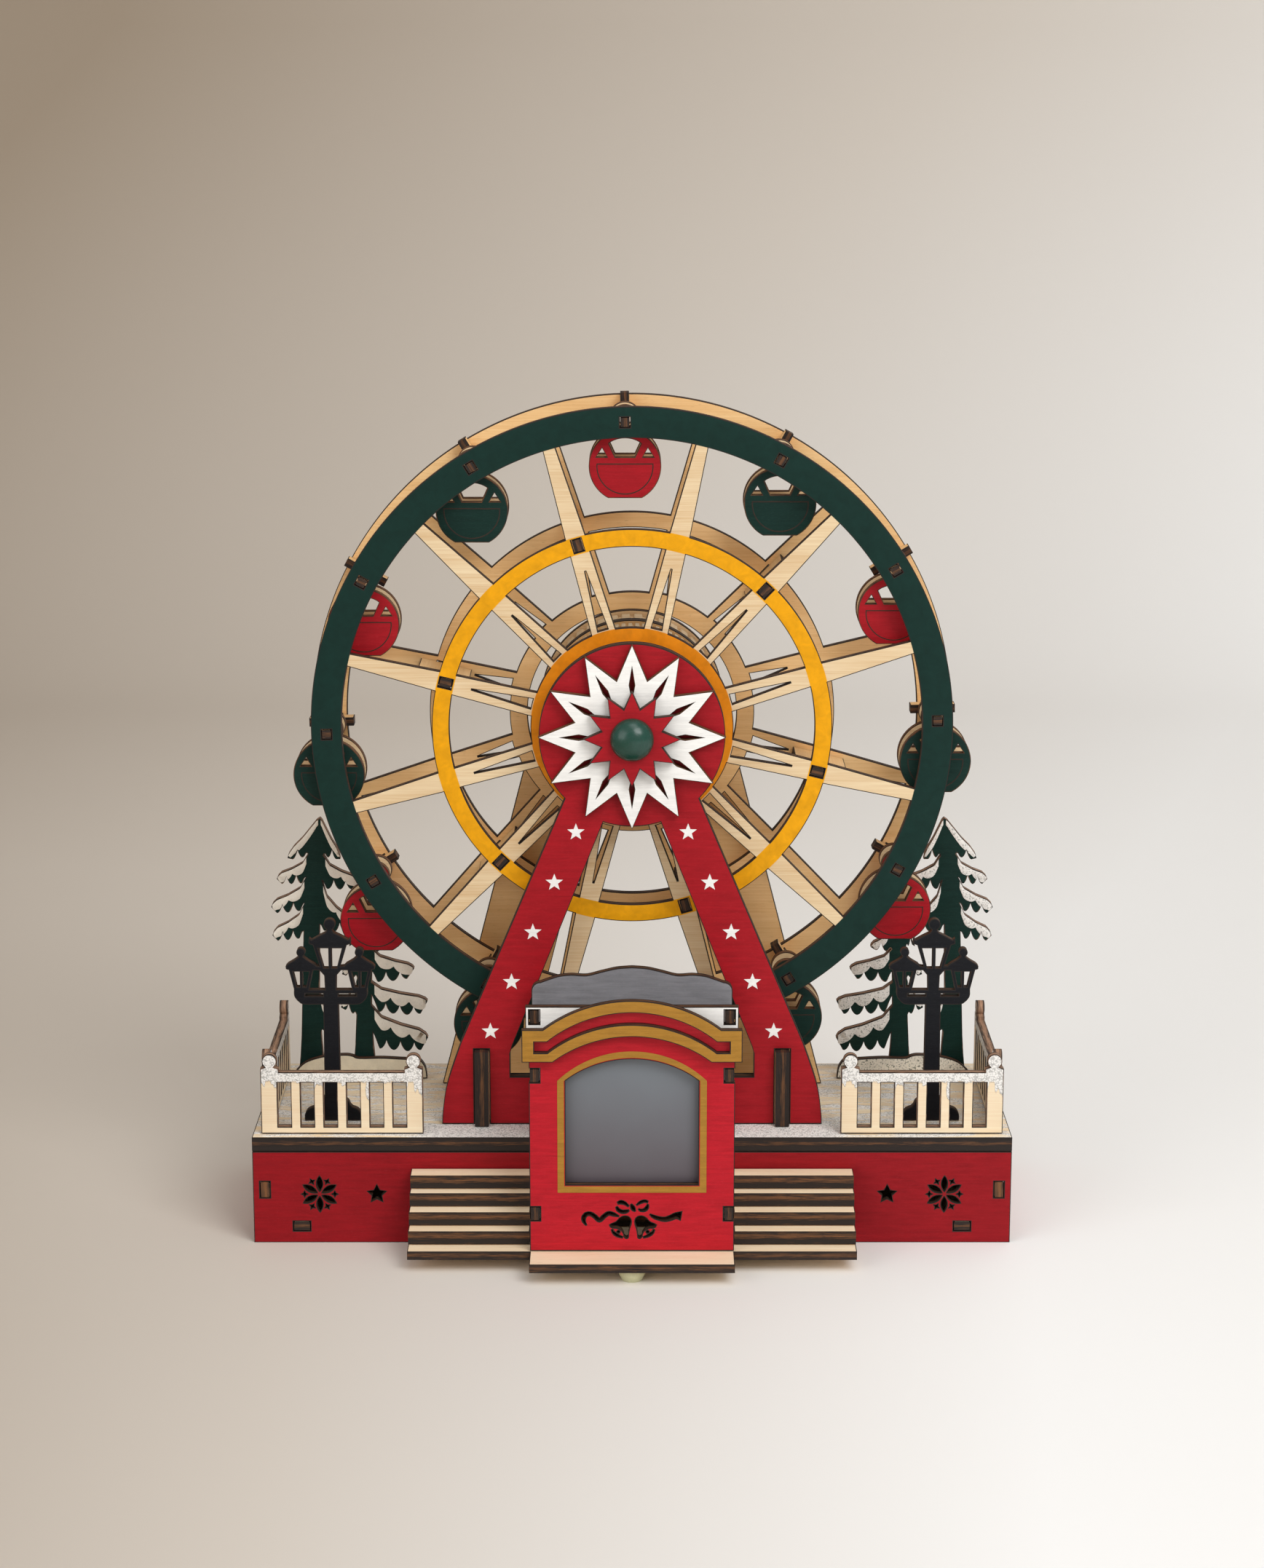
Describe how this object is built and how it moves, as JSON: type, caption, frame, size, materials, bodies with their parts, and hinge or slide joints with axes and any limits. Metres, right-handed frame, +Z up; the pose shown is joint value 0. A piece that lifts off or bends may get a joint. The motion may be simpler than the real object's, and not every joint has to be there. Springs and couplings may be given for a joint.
{
  "type": "light-up wooden ferris wheel",
  "caption": "Laser-cut plywood ferris wheel on a base with a booth, stairs, fences, lamps and trees; the wheel turns and its cabins hang upright.",
  "frame": {"origin": "on the surface the object stands on, under the middle of its box", "axes": "+Z up, -Y towards the front with the booth, +X to the right seen from the front"},
  "size_m": [0.2596, 0.1248, 0.2869],
  "materials": {
    "red_paint": "matt paint on plywood",
    "dark_green_paint": "matt paint on plywood",
    "gold_paint": "satin gold paint on plywood",
    "white_paint": "matt paint on plywood",
    "grey_paint": "matt paint on plywood",
    "black_paint": "matt paint on plywood",
    "birch_ply": "natural birch plywood, laser-burnt edges",
    "frosted_acrylic": "frosted",
    "clear_rubber": "clear",
    "steel": "satin",
    "black_plastic": "satin",
    "cell_wrap": "gloss",
    "circuit_board": "satin",
    "wire_cover": "satin"
  },
  "bodies": {
    "stand": {"base_back_panel": "red_paint", "base_front_panel": "red_paint", "base_left_panel": "red_paint", "base_right_panel": "red_paint", "battery_box": "black_plastic", "battery_cell_1": "cell_wrap", "battery_cell_2": "cell_wrap", "booth_back_board": "grey_paint", "booth_cornice": "gold_paint", "booth_foot": "clear_rubber", "booth_front_panel": "red_paint", "booth_gable": "white_paint", "booth_left_wall": "white_paint", "booth_right_wall": "white_paint", "booth_window": "frosted_acrylic", "bottom_plate": "birch_ply", "deck": "birch_ply", "drive_housing_cover": "birch_ply", "drive_housing_wall": "birch_ply", "fence_left": "birch_ply", "fence_right": "birch_ply", "front_brace_left": "birch_ply", "front_brace_right": "birch_ply", "front_frame": "red_paint", "gear_motor": "black_plastic", "hub_knob": "dark_green_paint", "light_board": "circuit_board", "rear_frame": "birch_ply", "red_star": "red_paint", "snow_mound_left": "white_paint", "snow_mound_right": "white_paint", "stair_board_1": "birch_ply", "stair_board_2": "birch_ply", "stair_board_3": "birch_ply", "stair_board_4": "birch_ply", "street_lamp_left": "black_paint", "street_lamp_right": "black_paint", "switch_body": "black_plastic", "trees_left": "dark_green_paint", "trees_right": "dark_green_paint", "white_star": "white_paint", "wiring_loom": "wire_cover"},
    "wheel": {"wheel_front_plate": "dark_green_paint", "wheel_rear_plate": "birch_ply", "hub_drum": "birch_ply", "axle": "steel"},
    "cabin_01": {"gondola_01": "dark_green_paint"},
    "cabin_02": {"gondola_02": "red_paint"},
    "cabin_03": {"gondola_03": "dark_green_paint"},
    "cabin_04": {"gondola_04": "red_paint"},
    "cabin_05": {"gondola_05": "dark_green_paint"},
    "cabin_06": {"gondola_06": "red_paint"},
    "cabin_07": {"gondola_07": "dark_green_paint"},
    "cabin_08": {"gondola_08": "red_paint"},
    "cabin_09": {"gondola_09": "dark_green_paint"},
    "cabin_10": {"gondola_10": "red_paint"},
    "cabin_11": {"gondola_11": "dark_green_paint"},
    "cabin_12": {"gondola_12": "red_paint"},
    "hatch": {"battery_hatch": "red_paint"},
    "slider": {"switch_slider": "black_plastic"}
  },
  "joints": [
    {"name": "wheel_spin", "type": "hinge", "parent": "stand", "child": "wheel", "pos_m": [0, 0.0054, 0.1751], "axis": [0, 1, 0], "continuous": true},
    {"name": "cabin_01_hang", "type": "hinge", "parent": "wheel", "child": "cabin_01", "pos_m": [0.10397, 0.0054, 0.17746], "axis": [0, 1, 0], "continuous": true},
    {"name": "cabin_02_hang", "type": "hinge", "parent": "wheel", "child": "cabin_02", "pos_m": [0.08886, 0.0054, 0.22913], "axis": [0, 1, 0], "continuous": true},
    {"name": "cabin_03_hang", "type": "hinge", "parent": "wheel", "child": "cabin_03", "pos_m": [0.04994, 0.0054, 0.26632], "axis": [0, 1, 0], "continuous": true},
    {"name": "cabin_04_hang", "type": "hinge", "parent": "wheel", "child": "cabin_04", "pos_m": [-0.00236, 0.0054, 0.27907], "axis": [0, 1, 0], "continuous": true},
    {"name": "cabin_05_hang", "type": "hinge", "parent": "wheel", "child": "cabin_05", "pos_m": [-0.05403, 0.0054, 0.26396], "axis": [0, 1, 0], "continuous": true},
    {"name": "cabin_06_hang", "type": "hinge", "parent": "wheel", "child": "cabin_06", "pos_m": [-0.09122, 0.0054, 0.22504], "axis": [0, 1, 0], "continuous": true},
    {"name": "cabin_07_hang", "type": "hinge", "parent": "wheel", "child": "cabin_07", "pos_m": [-0.10397, 0.0054, 0.17274], "axis": [0, 1, 0], "continuous": true},
    {"name": "cabin_08_hang", "type": "hinge", "parent": "wheel", "child": "cabin_08", "pos_m": [-0.08886, 0.0054, 0.12107], "axis": [0, 1, 0], "continuous": true},
    {"name": "cabin_09_hang", "type": "hinge", "parent": "wheel", "child": "cabin_09", "pos_m": [-0.04994, 0.0054, 0.08388], "axis": [0, 1, 0], "continuous": true},
    {"name": "cabin_10_hang", "type": "hinge", "parent": "wheel", "child": "cabin_10", "pos_m": [0.00236, 0.0054, 0.07113], "axis": [0, 1, 0], "continuous": true},
    {"name": "cabin_11_hang", "type": "hinge", "parent": "wheel", "child": "cabin_11", "pos_m": [0.05403, 0.0054, 0.08624], "axis": [0, 1, 0], "continuous": true},
    {"name": "cabin_12_hang", "type": "hinge", "parent": "wheel", "child": "cabin_12", "pos_m": [0.09122, 0.0054, 0.12516], "axis": [0, 1, 0], "continuous": true},
    {"name": "hatch_hinge", "type": "hinge", "parent": "stand", "child": "hatch", "pos_m": [-0.06, 0.0624, 0.006], "axis": [-1, 0, 0], "range_deg": [0, 100]},
    {"name": "switch_slide", "type": "slide", "parent": "stand", "child": "slider", "axis": [1, 0, 0], "range_m": [0, 0.004]}
  ],
  "couplings": [
    {"joint": "cabin_01_hang", "follows": "wheel_spin", "ratio": -1},
    {"joint": "cabin_02_hang", "follows": "wheel_spin", "ratio": -1},
    {"joint": "cabin_03_hang", "follows": "wheel_spin", "ratio": -1},
    {"joint": "cabin_04_hang", "follows": "wheel_spin", "ratio": -1},
    {"joint": "cabin_05_hang", "follows": "wheel_spin", "ratio": -1},
    {"joint": "cabin_06_hang", "follows": "wheel_spin", "ratio": -1},
    {"joint": "cabin_07_hang", "follows": "wheel_spin", "ratio": -1},
    {"joint": "cabin_08_hang", "follows": "wheel_spin", "ratio": -1},
    {"joint": "cabin_09_hang", "follows": "wheel_spin", "ratio": -1},
    {"joint": "cabin_10_hang", "follows": "wheel_spin", "ratio": -1},
    {"joint": "cabin_11_hang", "follows": "wheel_spin", "ratio": -1},
    {"joint": "cabin_12_hang", "follows": "wheel_spin", "ratio": -1}
  ]
}
